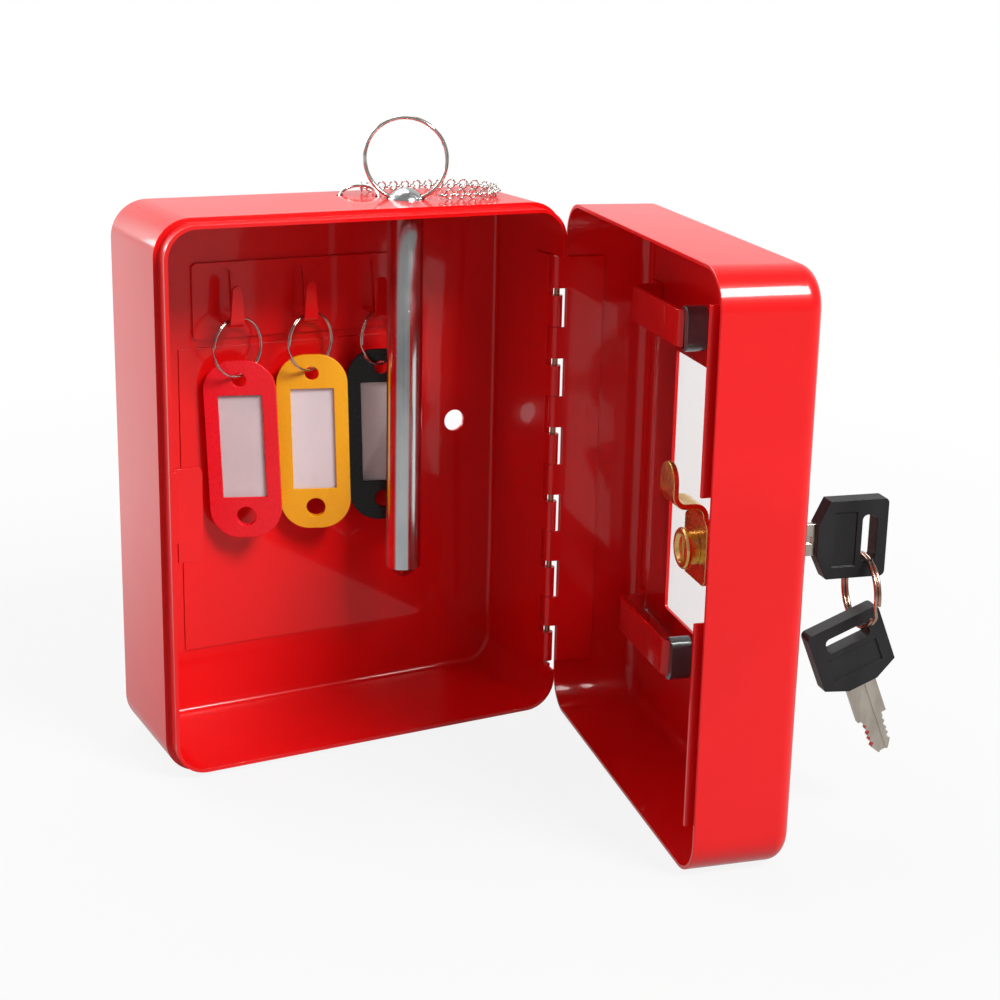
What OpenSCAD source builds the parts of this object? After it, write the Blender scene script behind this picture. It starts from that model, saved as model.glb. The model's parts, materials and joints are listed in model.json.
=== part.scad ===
// Break glass key box: drawn steel body and lid, cam lock, striker rod and key tags.
// Millimetres, up is +Z, the wall plane is Y = 0 and the front faces -Y.
// The lid stands open at open_angle, as photographed; every other piece is at rest.

/* [Box] */
// Outside width of body and lid
box_width = 117; // [114:1:130]
// Outside height of body and lid
box_height = 150; // [148:1:170]
// Depth of the body behind the rim of the lid
body_depth = 38.5; // [36:0.5:46]
// Depth of the lid
lid_depth = 26; // [26:0.5:30]
// Thickness of the steel sheet
sheet = 1; // [0.8:0.1:1.1]
// Corner radius seen from the front
corner_radius = 10; // [8:0.5:12]
// Swing of the lid away from closed, in degrees
open_angle = 77.8; // [60:0.2:100]

/* [Hinge] */
// Diameter of the hinge pin
pin_diameter = 1.6; // [1.4:0.1:1.8]
// Outside diameter of the rolled knuckles
knuckle_diameter = 3.3; // [3.2:0.1:3.6]
// Number of knuckles on each leaf
knuckle_count = 6; // [4:1:6]

/* [Window] */
// Width of the window in the lid
window_width = 46.7; // [40:0.5:48]
// Height of the window in the lid
window_height = 74.6; // [66:0.5:78]
// Thickness of the glass
glass_thickness = 2; // [1.5:0.5:3]

/* [Lock] */
// Outside diameter of the lock barrel
barrel_diameter = 16; // [15:0.5:17]
// Height of the lock above the middle of the lid
lock_height = 2; // [-5:0.5:6]

/* [Striker] */
// Diameter of the striker rod
striker_diameter = 10; // [8:0.5:11]
// Length of the rod below the top of the body
striker_drop = 106; // [80:1:110]

/* [Hooks and tags] */
// Distance from hook to hook
hook_pitch = 21.4; // [20.8:0.1:22]
// Outside diameter of the split ring of a tag
tag_ring_diameter = 17; // [15.5:0.1:17.4]
// Length of a tag
tag_length = 51; // [48:0.5:56]
// Width of a tag
tag_width = 20; // [18:0.1:20.4]

/* [Mounting] */
// Diameter of the two holes for wall screws
mount_hole_diameter = 6.4; // [5:0.1:7]
// Distance between the two holes
mount_hole_spacing = 90.4; // [86:0.2:92]

/* [Hidden] */
$fn = 48;
ROUND = 96;

FIT = 0.05;
CLEAR = 0.3;
CUT = 1;

RED_PAINT = [0.86, 0.05, 0.05];
STEEL = [0.78, 0.79, 0.8];
COPPER = [0.66, 0.4, 0.25];
GOLD = [0.8, 0.62, 0.22];
BLACK = [0.06, 0.06, 0.06];
YELLOW = [0.95, 0.65, 0.04];
GREY_RUBBER = [0.2, 0.2, 0.21];
PAPER = [0.92, 0.86, 0.86];
CLEAR_PLASTIC = [0.95, 0.97, 1, 0.3];
GLASS = [0.85, 0.93, 0.9, 0.35];

half_width = box_width / 2;
half_height = box_height / 2;
back_edge = 2.5;
front_edge = 4.5;
neck_step = 0.3 + sheet;
neck_length = 5;
neck_end = body_depth + neck_length;
rim_gap = 0.3;
rim = body_depth + rim_gap;
lid_front = rim + lid_depth;
panel_inside = lid_front - sheet;

// Hinge, measured in the plan of the closed box
leaf_thickness = 0.8;
leaf_width = 11;
pin_x = half_width - sheet - leaf_thickness + knuckle_diameter / 2;
pin_depth = body_depth - 2;
lid_knuckle = 9.1;
body_knuckle = 8.9;
knuckle_pitch = 20.2;
hinge_length = knuckle_count * knuckle_pitch;
hinge_top = hinge_length / 2 - 1.3;
hinge_relief = 2.3;

// Window, pane and its clips, x measured from the middle of the lid
lock_x = -half_width + 26;
window_from_lock = 16;
window_hinge_side = lock_x + window_from_lock + window_width;
window_x = window_hinge_side - window_width / 2;
pane_hinge_side = half_width - 13;
pane_free_side = window_hinge_side - window_width - 4.5;
pane_half_height = window_height / 2 + 6.2;
clip_width = 10;
clip_top_y = pane_half_height + 4.5;
clip_bottom_y = -pane_half_height - 0.5;
clip_rise = 9.5;
clip_reach = 39;
sleeve_wall = 2.3;

// Lock, depths measured from the wall
barrel_radius = barrel_diameter / 2;
barrel_flat = barrel_radius - 1;
barrel_length = 17.7;
barrel_back = lid_front - barrel_length;
collar_radius = barrel_radius + 1.5;
collar_height = 2;
lock_face = lid_front + collar_height;
plug_radius = 5.5;
nut_flats = 19;
nut_height = 3;
tail_square = 6;
cam_thickness = 1.4;
cam_top = barrel_back - 0.1;
cam_bottom = cam_top - cam_thickness;
cam_plate_width = 15;
cam_foot = 8.2;
cam_arm_width = 9.6;
cam_length = 22.3;
cam_offset = 8;
cam_bend = 3.6;
cam_bend_y = 9;
stud_radius = 2.4;
stud_length = 2;
screw_neck_radius = 4.2;
screw_head_radius = 5.2;
screw_height = 3.8;
wafer_count = 4;
wafer_pitch = 2.1;
wafer_thickness = 0.9;

// Keys
blade_thickness = 1.8;
blade_height = 5.6;
shank_height = 8.3;
shank_out = 10.7;
blade_in = 10.6;
blade_root = 8;
bow_length = 19.2;
bow_height = 20.6;
bow_thickness = 4.6;
bow_cut_length = 3;
bow_cut_height = 6.2;
bow_pocket_start = 4.4;
bow_pocket_edge = 3.2;
bow_pocket_length = 6.2;
bow_pocket_depth = 0.4;
slot_length = 12.3;
slot_width = 4;
slot_middle = 14.2;
key_ring_diameter = 20;
key_ring_wire = 1.1;
key_ring_lift = 0.5;
key_ring_drop = slot_length / 2 + key_ring_diameter / 2 - key_ring_wire - key_ring_lift;
spare_tilt = 22;
spare_hang = 4.9;
spare_lift = 0.62;

// Striker, ring, anchor and chain
striker_x = 18;
striker_depth = 22;
striker_radius = striker_diameter / 2;
head_rise = 3;
head_sphere = (striker_radius * striker_radius + head_rise * head_rise) / (2 * head_rise);
cross_hole_radius = 1.8;
cross_hole_z = half_height - 0.4;
striker_ring_wire = 1.1;
striker_ring_radius = 11.4;
striker_turn = -30;
striker_ring_z = half_height - 0.58 + striker_ring_radius;
anchor_x = 8;
anchor_depth = 13;
anchor_radius = 5.5;
anchor_wire = 0.9;
anchor_lean = 30;
anchor_slot_width = 1.7;
anchor_slot_length = 4.2;
anchor_link_drop = 25;
link_wire = 0.5;
link_width = 2.1;
link_length = 4.35;
loop_radius = 1.2;
loop_pitch = 1.8;
loop_sink = 0.2;
chain_z = half_height + loop_radius + link_wire / 2 + 0.02;
chain_back_y = -6.2;
chain_front_y = -27.4;
chain_left_x = 12.4;
back_loops = 14;
front_loops = 6;

// Hooks and tags
hook_count = 3;
hook_x = -27;
hook_floor = half_height - 34;
hook_width = 3.9;
hook_tip_width = 2.6;
hook_height = 10.6;
hook_reach = 11.8;
ring_wire = 0.66;
ring_depth = 8.1;
ring_shift = 1;
ring_lift = 0.8;
ring_turns = [19, 22, 26];
tag_turns = [26, 22, 20];
tag_leans = [2.2, 1.5, 1.5];
tag_shift = 0.3;
tag_lift = 0.6;
ring_radius = tag_ring_diameter / 2 - ring_wire / 2;
ring_y = hook_floor + ring_wire / 2 + ring_lift - ring_radius;
tag_hole_radius = 1.95;
tag_hole_drop = 5.4;
tag_round = 8.5;
tag_foot_hole_radius = 2.7;
tag_foot_hole_rise = 6.2;
tag_thickness = 2.2;
tag_head_thickness = 1.2;
tag_hole_y = ring_y - ring_radius + ring_wire / 2 + tag_lift - tag_hole_radius;
label_drop = 9.8;
label_width = 12.1;
label_height = 29.4;
label_lap = 0.9;
tag_lip = 0.6;
film_thickness = 0.4;
paper_thickness = 0.3;

// Turns a plan drawn on XY, depth along Z, so that depth runs from the wall to the front.
module on_wall() {
  rotate([90, 0, 0])
    children();
}

// The same for pieces of the lid, swung open about the hinge pin.
module on_lid() {
  translate([pin_x, -pin_depth, 0])
    rotate([0, 0, open_angle])
      translate([-pin_x, pin_depth, 0])
        on_wall()
          children();
}

// Places a piece drawn about the lock axis, depth from the wall kept.
module at_lock() {
  translate([lock_x, lock_height, 0])
    children();
}

module slab(x0, x1, y0, y1, z0, z1) {
  translate([x0, y0, z0])
    cube([x1 - x0, y1 - y0, z1 - z0]);
}

module rounded_plan(width, height, radius) {
  square([width - 2 * radius, height], center = true);
  square([width, height - 2 * radius], center = true);
  for (sx = [-1, 1], sy = [-1, 1])
    translate([sx * (width / 2 - radius), sy * (height / 2 - radius)])
      circle(r = radius, $fn = ROUND);
}

module rounded_block(width, height, radius, depth) {
  linear_extrude(depth)
    rounded_plan(width, height, radius);
}

// Half of a section through a drawn shell: flat bottom, rounded lower edge.
module drawn_section(reach, depth, edge) {
  translate([0, edge])
    square([reach, depth - edge]);
  square([reach - edge, depth]);
  translate([reach - edge, edge])
    circle(r = edge);
}

// Box with round corners in plan and a rounded edge round its floor at Z = 0.
module drawn(width, height, radius, depth, edge) {
  for (sx = [-1, 1], sy = [-1, 1])
    translate([sx * (width / 2 - radius), sy * (height / 2 - radius), 0])
      rotate_extrude($fn = ROUND)
        intersection() {
          drawn_section(radius, depth, edge);
          square([radius, depth]);
        }
  drawn_bar(width / 2, height - 2 * radius, depth, edge);
  rotate([0, 0, 90])
    drawn_bar(height / 2, width - 2 * radius, depth, edge);
}

module drawn_bar(reach, span, depth, edge) {
  translate([0, span / 2, 0])
    rotate([90, 0, 0])
      linear_extrude(span)
        union() {
          drawn_section(reach, depth, edge);
          mirror([1, 0])
            drawn_section(reach, depth, edge);
        }
}

// Round wire bent to a ring about the Z axis.
module wire_ring(radius, wire) {
  rotate_extrude($fn = ROUND)
    translate([radius, 0])
      circle(d = wire, $fn = 24);
}

// Split ring: two turns of wire lying against each other.
module split_ring(radius, wire) {
  for (side = [-0.48, 0.48])
    translate([0, 0, side * wire])
      wire_ring(radius, wire);
}

// Body drawn from one sheet, its neck set in for the lid to slide over.
module body_shell() {
  inner_radius = corner_radius - sheet;
  color(RED_PAINT)
    difference() {
      on_wall()
        difference() {
          union() {
            drawn(box_width, box_height, corner_radius, body_depth, back_edge);
            translate([0, 0, sheet])
              rounded_block(box_width - 2 * neck_step, box_height - 2 * neck_step,
                corner_radius - neck_step, neck_end - sheet);
          }
          difference() {
            translate([0, 0, sheet])
              drawn(box_width - 2 * sheet, box_height - 2 * sheet, inner_radius,
                body_depth - 2 * sheet, back_edge - sheet);
            slab(-emboss_left, emboss_right, -emboss_bottom, emboss_top, 0, sheet + emboss);
          }
          translate([0, 0, body_depth - 2 * sheet])
            rounded_block(box_width - 2 * neck_step - 2 * sheet,
              box_height - 2 * neck_step - 2 * sheet,
              corner_radius - neck_step - sheet, neck_length + 3 * sheet);
          hinge_cut();
          for (side = [-1, 1])
            translate([mount_hole_shift + side * mount_hole_spacing / 2, mount_hole_y, -CUT])
              cylinder(d = mount_hole_diameter, h = sheet + 2 * CUT);
        }
      striker_hole();
      anchor_holes();
    }
}

emboss = 0.5;
emboss_left = 40.6;
emboss_right = 34.3;
emboss_bottom = half_height - 20;
emboss_top = half_height - 42;
mount_hole_y = 4.6;
mount_hole_shift = -1;

// The wall and neck stop short of the barrel of the hinge.
module hinge_cut() {
  slab(half_width - 4, half_width + CUT, hinge_top - hinge_length - 0.5, hinge_top + 0.5,
    pin_depth - hinge_relief, neck_end + CUT);
}

module striker_hole() {
  translate([striker_x, -striker_depth, half_height - 2 * sheet])
    cylinder(r = striker_radius + CLEAR, h = 4 * sheet);
}

module anchor_holes() {
  translate([anchor_x, -anchor_depth, half_height - 2 * sheet])
    rotate([0, 0, striker_turn])
      for (side = [-1, 1])
        translate([side * (anchor_radius - 0.2), 0, 0])
          rounded_block(anchor_slot_width, anchor_slot_length, 0.8, 4 * sheet);
}

// Plate spot-welded inside the back, three hooks pressed out of it.
plate_left = 36.5;
plate_right = 33.8;
plate_bottom = half_height - 39.5;
plate_top = half_height - 18.3;
hook_slot_length = 14;
module hook_plate() {
  color(RED_PAINT)
    on_wall() {
      difference() {
        translate([0, 0, sheet])
          linear_extrude(sheet)
            translate([(plate_right - plate_left) / 2, (plate_top + plate_bottom) / 2])
              rounded_plan(plate_left + plate_right, plate_top - plate_bottom, 1.5);
        for (i = [0 : hook_count - 1])
          hook_slot(hook_x + i * hook_pitch);
      }
      for (i = [0 : hook_count - 1])
        translate([hook_x + i * hook_pitch, 0, 0])
          hook();
    }
}

module hook_slot(x) {
  translate([x, hook_floor, 0.5 * sheet])
    linear_extrude(2 * sheet)
      tongue_plan(hook_slot_length, 0.1);
}

// Tapered tongue with a round tip, drawn upwards from its base.
module tongue_plan(length, gap) {
  tip = hook_tip_width / 2 + gap;
  base = hook_width / 2 + gap;
  polygon([[-base, 0], [base, 0], [tip, length - tip], [-tip, length - tip]]);
  translate([0, length - tip])
    circle(r = tip);
}

// Floor, round bend and upright of one hook, drawn from the side.
module hook() {
  bend = 2.2;
  upright = hook_floor - sheet + bend;
  translate([-hook_width / 2, 0, 0])
    rotate([90, 0, 90])
      linear_extrude(hook_width) {
        translate([hook_floor - sheet, sheet])
          square([sheet, hook_reach - bend - sheet]);
        intersection() {
          translate([upright, hook_reach - bend])
            difference() {
              circle(r = bend);
              circle(r = bend - sheet);
            }
          translate([upright - bend, hook_reach - bend])
            square(bend);
        }
      }
  translate([0, upright, hook_reach - sheet])
    linear_extrude(sheet)
      tongue_plan(hook_height - bend + 1, 0);
}

// Angle welded inside the neck; the cam turns behind its standing leg.
keeper_low = -14.8;
keeper_high = 10.7;
keeper_leg = 8.6;
keeper_round = 1.8;
module latch_keeper() {
  face = -half_width + neck_step + sheet;
  leg_depth = rim - cam_tip_depth + 0.6;
  tall = keeper_high - keeper_low;
  strip_side = -half_width + neck_step + 2 * sheet + 0.8;
  color(RED_PAINT)
    on_wall()
      difference() {
        union() {
          slab(face, face + sheet, keeper_low, keeper_high, leg_depth, neck_end - 0.2);
          intersection() {
            translate([face + keeper_leg / 2 - keeper_round, (keeper_high + keeper_low) / 2, leg_depth])
              rounded_block(keeper_leg + 2 * keeper_round, tall, keeper_round, sheet);
            slab(face, face + 2 * keeper_leg, keeper_low, keeper_high, leg_depth, leg_depth + sheet);
          }
        }
        slab(face - CUT, strip_side, keeper_low - CUT, strip_notch_low + 0.5, leg_depth - CUT,
          neck_end);
      }
}

// Rolled knuckles along one leaf; the strip runs into each barrel on a tangent.
module knuckles(length, first) {
  for (i = [0 : knuckle_count - 1])
    translate([0, hinge_top - i * knuckle_pitch - first - length, 0]) {
      translate([pin_x, 0, pin_depth])
        rotate([-90, 0, 0])
          cylinder(d = knuckle_diameter, h = length);
      children();
    }
}

module pin_bore() {
  translate([pin_x, hinge_top - hinge_length - CUT, pin_depth])
    rotate([-90, 0, 0])
      cylinder(d = pin_diameter + 2 * FIT, h = hinge_length + 2 * CUT);
}

leaf_x = half_width - sheet - leaf_thickness;
module hinge_leaf_body() {
  reach = pin_depth - hinge_relief;
  color(RED_PAINT)
    on_wall()
      difference() {
        union() {
          slab(leaf_x, leaf_x + leaf_thickness, hinge_top - hinge_length, hinge_top,
            reach - leaf_width + 3, reach);
          knuckles(body_knuckle, lid_knuckle + 2.1)
            slab(leaf_x, leaf_x + leaf_thickness, 0, body_knuckle, reach - CUT, pin_depth);
        }
        pin_bore();
      }
}

module hinge_leaf_lid() {
  color(RED_PAINT)
    on_lid()
      difference() {
        union() {
          slab(leaf_x, leaf_x + leaf_thickness, hinge_top - hinge_length, hinge_top,
            rim + 0.2, rim + leaf_width);
          knuckles(lid_knuckle, 0)
            slab(leaf_x, leaf_x + leaf_thickness, 0, lid_knuckle, pin_depth, rim + CUT);
        }
        pin_bore();
      }
}

module hinge_pin() {
  color(COPPER)
    on_wall()
      translate([pin_x, hinge_top - hinge_length + 0.1, pin_depth])
        rotate([-90, 0, 0])
          cylinder(d = pin_diameter, h = hinge_length - 0.2);
}

// Lid drawn from one sheet, pierced for the window and the lock.
module lid_shell() {
  color(RED_PAINT)
    on_lid()
      difference() {
        translate([0, 0, lid_front])
          mirror([0, 0, 1])
            drawn(box_width, box_height, corner_radius, lid_depth, front_edge);
        translate([0, 0, panel_inside])
          mirror([0, 0, 1])
            drawn(box_width - 2 * sheet, box_height - 2 * sheet, corner_radius - sheet,
              lid_depth, front_edge - sheet);
        translate([window_x, 0, panel_inside - CUT])
          rounded_block(window_width, window_height, 1, sheet + 2 * CUT);
        at_lock()
          translate([0, 0, panel_inside - CUT])
            linear_extrude(sheet + 2 * CUT)
              barrel_plan(FIT);
      }
}

// Strip welded inside the free wall; its inner edge clears the neck and is notched for the cam.
strip_top = half_height - 8;
strip_bottom = -half_height + 14;
strip_notch_low = -9;
strip_notch_high = 21.8;
strip_start = 1.5;
module lid_guard_strip() {
  wall = -half_width + sheet;
  inner = -half_width + neck_step + sheet + 0.5;
  step_depth = neck_end + 1;
  color(RED_PAINT)
    on_lid()
      difference() {
        union() {
          slab(wall, wall + sheet, strip_bottom, strip_top - 2, step_depth + sheet, step_depth + 13);
          slab(wall, inner + sheet, strip_bottom, strip_top - 2, step_depth, step_depth + sheet);
          slab(inner, inner + sheet, strip_bottom, strip_top, rim - strip_start, step_depth + sheet);
        }
        notch(inner - CUT, inner + sheet + CUT);
      }
}

module notch(x0, x1) {
  deep = neck_end + 0.3;
  low = strip_notch_low + lock_height - 2;
  high = strip_notch_high + lock_height - 2;
  slab(x0, x1, low, high, rim - strip_start - CUT, deep - 2);
  slab(x0, x1, low + 2, high - 2, deep - 3, deep);
  for (y = [low + 2, high - 2])
    translate([x0, y, deep - 2])
      rotate([0, 90, 0])
        cylinder(r = 2, h = x1 - x0);
}

module glass_pane() {
  color(GLASS)
    on_lid()
      slab(pane_free_side, pane_hinge_side, -pane_half_height, pane_half_height,
        panel_inside - glass_thickness, panel_inside);
}

// Bent strap: foot on the panel, bridge over the pane edge, leg that presses the pane.
module clip_section() {
  bridge = panel_inside - clip_rise;
  foot = pane_hinge_side + 0.5;
  leg = foot + 1 - clip_reach;
  bend = 3.2;
  translate([foot, panel_inside - sheet])
    square([7, sheet]);
  translate([foot, bridge + bend])
    square([sheet, clip_rise - bend]);
  translate([leg + bend, bridge])
    square([clip_reach - 2 * bend, sheet]);
  translate([leg, bridge + bend])
    square([sheet, clip_rise - bend - glass_thickness - 0.3]);
  for (side = [0, 1])
    intersection() {
      translate([side == 0 ? leg + bend : leg + clip_reach - bend, bridge + bend])
        difference() {
          circle(r = bend);
          circle(r = bend - sheet);
        }
      translate([side == 0 ? leg : leg + clip_reach - bend, bridge])
        square(bend);
    }
}

// Draws an XZ section and sweeps it along Y from y0 to y1.
module swept(y0, y1) {
  translate([0, y1, 0])
    rotate([90, 0, 0])
      linear_extrude(y1 - y0)
        children();
}

module glass_clip(middle) {
  color(RED_PAINT)
    on_lid()
      swept(middle - clip_width / 2, middle + clip_width / 2)
        clip_section();
}

module glass_clip_top() {
  glass_clip(clip_top_y);
}

module glass_clip_bottom() {
  glass_clip(clip_bottom_y);
}

// Soft sleeve pushed over the pressing leg of a clip.
module clip_sleeve(middle) {
  leg = pane_hinge_side + 1.5 - clip_reach;
  start = panel_inside - clip_rise + 1.6;
  end = panel_inside - glass_thickness;
  thick = sheet + 2 * sleeve_wall;
  long = clip_width + 2.2;
  color(GREY_RUBBER)
    on_lid()
      translate([leg + sheet / 2, middle, start])
        difference() {
          linear_extrude(end - start)
            rounded_plan(thick, long, thick / 2 - 0.05);
          translate([0, 0, -CUT])
            linear_extrude(end - start - 0.3 + CUT)
              square([sheet, clip_width], center = true);
        }
}

module clip_sleeve_top() {
  clip_sleeve(clip_top_y);
}

module clip_sleeve_bottom() {
  clip_sleeve(clip_bottom_y);
}

// Round barrel with two flats, in plan.
module barrel_plan(gap) {
  intersection() {
    circle(r = barrel_radius + gap, $fn = ROUND);
    square([2 * (barrel_flat + gap), 4 * barrel_radius], center = true);
  }
}

module lock_barrel() {
  color(STEEL)
    on_lid()
      at_lock()
        difference() {
          union() {
            translate([0, 0, barrel_back])
              linear_extrude(barrel_length + FIT)
                barrel_plan(0);
            translate([0, 0, lid_front])
              cylinder(r = collar_radius, h = collar_height - 0.6, $fn = ROUND);
            translate([0, 0, lock_face - 0.6])
              cylinder(r1 = collar_radius, r2 = collar_radius - 0.8, h = 0.6, $fn = ROUND);
          }
          translate([0, 0, barrel_back - CUT])
            cylinder(r = plug_radius + FIT, h = barrel_length + collar_height + 2 * CUT);
        }
}

module lock_nut() {
  color(STEEL)
    on_lid()
      at_lock()
        translate([0, 0, panel_inside - nut_height])
          difference() {
            cylinder(d = nut_flats / cos(30), h = nut_height, $fn = 6);
            translate([0, 0, -CUT])
              cylinder(r = barrel_radius + FIT, h = nut_height + 2 * CUT, $fn = ROUND);
          }
}

wafer_top = lock_face - 2.6;
pocket_x = 3.7;
pocket_radius = 0.95;
pocket_height = 3.6;
module lock_plug() {
  color(STEEL)
    on_lid()
      at_lock()
        difference() {
          union() {
            translate([0, 0, barrel_back + 0.1])
              cylinder(r = plug_radius, h = lock_face - barrel_back - 0.1);
            translate([-tail_square / 2, -tail_square / 2, cam_bottom])
              cube([tail_square, tail_square, cam_thickness + 0.3]);
            translate([0, 0, cam_bottom - stud_length])
              cylinder(r = stud_radius, h = stud_length + CUT);
          }
          slab(-blade_thickness / 2 - FIT, blade_thickness / 2 + FIT, -shank_height / 2 - FIT,
            shank_height / 2 + FIT, lock_face - blade_in - 0.5, lock_face + CUT);
          for (i = [0 : wafer_count - 1])
            translate([0, 0, wafer_top - i * wafer_pitch]) {
              slab(-2.9, 2.9, -plug_radius, plug_radius, -FIT - wafer_thickness, FIT);
              slab(2, pocket_x + 1, 0, 1.6, -FIT - wafer_thickness, FIT);
              translate([pocket_x, 0.5, -wafer_thickness / 2])
                rotate([90, 0, 0])
                  cylinder(r = pocket_radius, h = pocket_height + 0.5, $fn = 24);
            }
        }
}

module lock_wafers() {
  color(GOLD)
    on_lid()
      at_lock()
        for (i = [0 : wafer_count - 1])
          translate([0, 0, wafer_top - i * wafer_pitch - wafer_thickness])
            linear_extrude(wafer_thickness)
              difference() {
                union() {
                  square([5.6, 9.2], center = true);
                  translate([2, 0.2])
                    square([pocket_x - 1.2, 1]);
                }
                square([blade_thickness + 0.4, blade_height + 0.5], center = true);
              }
}

module wafer_springs() {
  color(STEEL)
    on_lid()
      at_lock()
        for (i = [0 : wafer_count - 1])
          translate([pocket_x, 0.18, wafer_top - i * wafer_pitch - wafer_thickness / 2])
            rotate([90, 0, 0])
              linear_extrude(height = pocket_height - 0.1, twist = -360 * 3, slices = 36, $fn = 6)
                translate([0.6, 0])
                  circle(r = 0.15);
}

// Side view of the cam: plate on the lock, step towards the body, arm.
cam_tip_depth = rim - (cam_bottom - cam_offset + cam_thickness);
module cam_section() {
  low = cam_bottom - cam_offset;
  bend = cam_bend;
  inside = bend - cam_thickness;
  out_y = cam_bend_y + 2 * bend - cam_thickness;
  translate([-cam_foot, cam_bottom])
    square([cam_bend_y + cam_foot, cam_thickness]);
  intersection() {
    translate([cam_bend_y, cam_top - bend])
      difference() {
        circle(r = bend);
        circle(r = inside);
      }
    translate([cam_bend_y, cam_top - bend])
      square(bend);
  }
  translate([cam_bend_y + inside, low + bend])
    square([cam_thickness, cam_top - low - 2 * bend]);
  intersection() {
    translate([out_y, low + bend])
      difference() {
        circle(r = bend);
        circle(r = inside);
      }
    translate([out_y - bend, low])
      square(bend);
  }
  translate([out_y, low])
    square([cam_length - out_y, cam_thickness]);
}

// Plate with round corners on the lock, running into the narrower arm with a round end.
module cam_plan() {
  shoulder = cam_bend_y + 1.4;
  intersection() {
    circle(r = 10, $fn = ROUND);
    translate([0, (shoulder - cam_foot) / 2])
      rounded_plan(cam_plate_width, shoulder + cam_foot, 2);
  }
  translate([-cam_arm_width / 2, 0])
    square([cam_arm_width, cam_length - cam_arm_width / 2]);
  translate([0, cam_length - cam_arm_width / 2])
    circle(d = cam_arm_width);
}

module lock_cam() {
  color(GOLD)
    on_lid()
      at_lock()
        difference() {
          intersection() {
            translate([-cam_plate_width, 0, 0])
              rotate([90, 0, 90])
                linear_extrude(2 * cam_plate_width)
                  cam_section();
            translate([0, 0, cam_bottom - cam_offset - CUT])
              linear_extrude(cam_offset + cam_thickness + 2 * CUT)
                cam_plan();
          }
          translate([0, 0, cam_bottom])
            cube([tail_square + 2 * FIT, tail_square + 2 * FIT, 4 * cam_thickness], center = true);
        }
}

// Round screw that holds the cam: dished head with a slot, hollow where the stud enters.
module cam_nut() {
  dish = 0.8;
  color(GOLD)
    on_lid()
      at_lock()
        translate([0, 0, cam_bottom - screw_height])
          difference() {
            union() {
              cylinder(r1 = screw_head_radius - 0.4, r2 = screw_head_radius, h = 0.5);
              translate([0, 0, 0.5])
                cylinder(r = screw_head_radius, h = 0.8);
              cylinder(r = screw_neck_radius, h = screw_height);
            }
            translate([0, 0, -0.01])
              cylinder(r1 = 3.9, r2 = 2.9, h = dish);
            translate([-0.6, -3.6, -CUT])
              cube([1.2, 7.2, CUT + dish + 0.4]);
            translate([0, 0, screw_height - stud_length - 0.1])
              cylinder(r = stud_radius + FIT, h = screw_height);
          }
}

// Key drawn flat: length along X from the shoulder of the bow, the blade towards -X.
bite_count = 4;
bite_pitch = 1.8;
bite_rises = [0.6, 0.3, 0.5, 0.2];
module blade_plan() {
  tip = -shank_out - blade_in;
  half = blade_height / 2;
  shank = shank_height / 2;
  difference() {
    polygon([
      [blade_root, -half], [0, -half], [0, -shank], [-shank_out, -shank], [-shank_out, -half],
      [tip + 2.4, -half], [tip, -1.4], [tip, 1.4], [tip + 2.4, half], [-shank_out, half],
      [-shank_out, shank], [0, shank], [0, half], [blade_root, half]
    ]);
    for (i = [0 : bite_count - 1], side = [-1, 1])
      translate([-shank_out - 1.8 - bite_pitch * i, side * (half + bite_rises[i])])
        circle(r = 1.1, $fn = 4);
  }
}

// Plate with round corners, its blade end cut back above and below the shank.
module bow_plan() {
  half = bow_height / 2;
  cut = [bow_cut_length, bow_cut_height];
  difference() {
    translate([bow_length / 2, 0])
      rounded_plan(bow_length, bow_height, 1.4);
    for (side = [-1, 1])
      polygon([
        [-CUT, side * (half + CUT)], [cut[0] + 1, side * (half + CUT)], [cut[0], side * half],
        [0, side * (half - cut[1])], [-CUT, side * (half - cut[1])]
      ]);
    translate([slot_middle, 0])
      rounded_plan(slot_width, slot_length, 1.4);
  }
}

module key_blade_flat() {
  translate([0, 0, -blade_thickness / 2])
    difference() {
      linear_extrude(blade_thickness)
        blade_plan();
      for (z = [-CUT, blade_thickness - 0.5])
        translate([-shank_out - blade_in - CUT, -0.9, z])
          cube([shank_out + blade_in, 1.8, CUT + 0.5]);
    }
}

module key_bow_flat() {
  difference() {
    translate([0, 0, -bow_thickness / 2])
      linear_extrude(bow_thickness)
        bow_plan();
    for (side = [0, 1])
      mirror([0, 0, side])
        translate([bow_pocket_start, -bow_height / 2 + bow_pocket_edge,
                   bow_thickness / 2 - bow_pocket_depth])
          cube([bow_pocket_length, bow_height - 2 * bow_pocket_edge, CUT]);
    translate([-CUT, -blade_height / 2, -blade_thickness / 2])
      cube([blade_root + CUT, blade_height, blade_thickness]);
  }
}

// Key in the lock: flat side to the hinge, bow outside.
module key_in_lock() {
  on_lid()
    at_lock()
      translate([0, 0, lock_face + shank_out])
        rotate([0, -90, 0])
          mirror([0, 0, 1])
            children();
}

module key_blade() {
  color(STEEL)
    key_in_lock()
      key_blade_flat();
}

module key_bow() {
  color(BLACK)
    key_in_lock()
      key_bow_flat();
}

module key_ring() {
  color(STEEL)
    on_lid()
      at_lock()
        translate([0, -key_ring_drop, lock_face + shank_out + slot_middle])
          split_ring(key_ring_diameter / 2 - key_ring_wire / 2, key_ring_wire);
}

// The spare key hangs from the outer end of its slot on the bottom of the ring.
module spare_key() {
  rest = -key_ring_drop - key_ring_diameter / 2 + key_ring_wire + spare_lift;
  on_lid()
    at_lock()
      translate([0, rest, lock_face + shank_out + slot_middle])
        rotate([0, -90, 0])
          mirror([0, 0, 1])
            rotate([0, 0, 90 - (-spare_tilt)])
              translate([-slot_middle - slot_width / 2, spare_hang, 0])
                children();
}

module spare_key_blade() {
  color(STEEL)
    spare_key()
      key_blade_flat();
}

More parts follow.
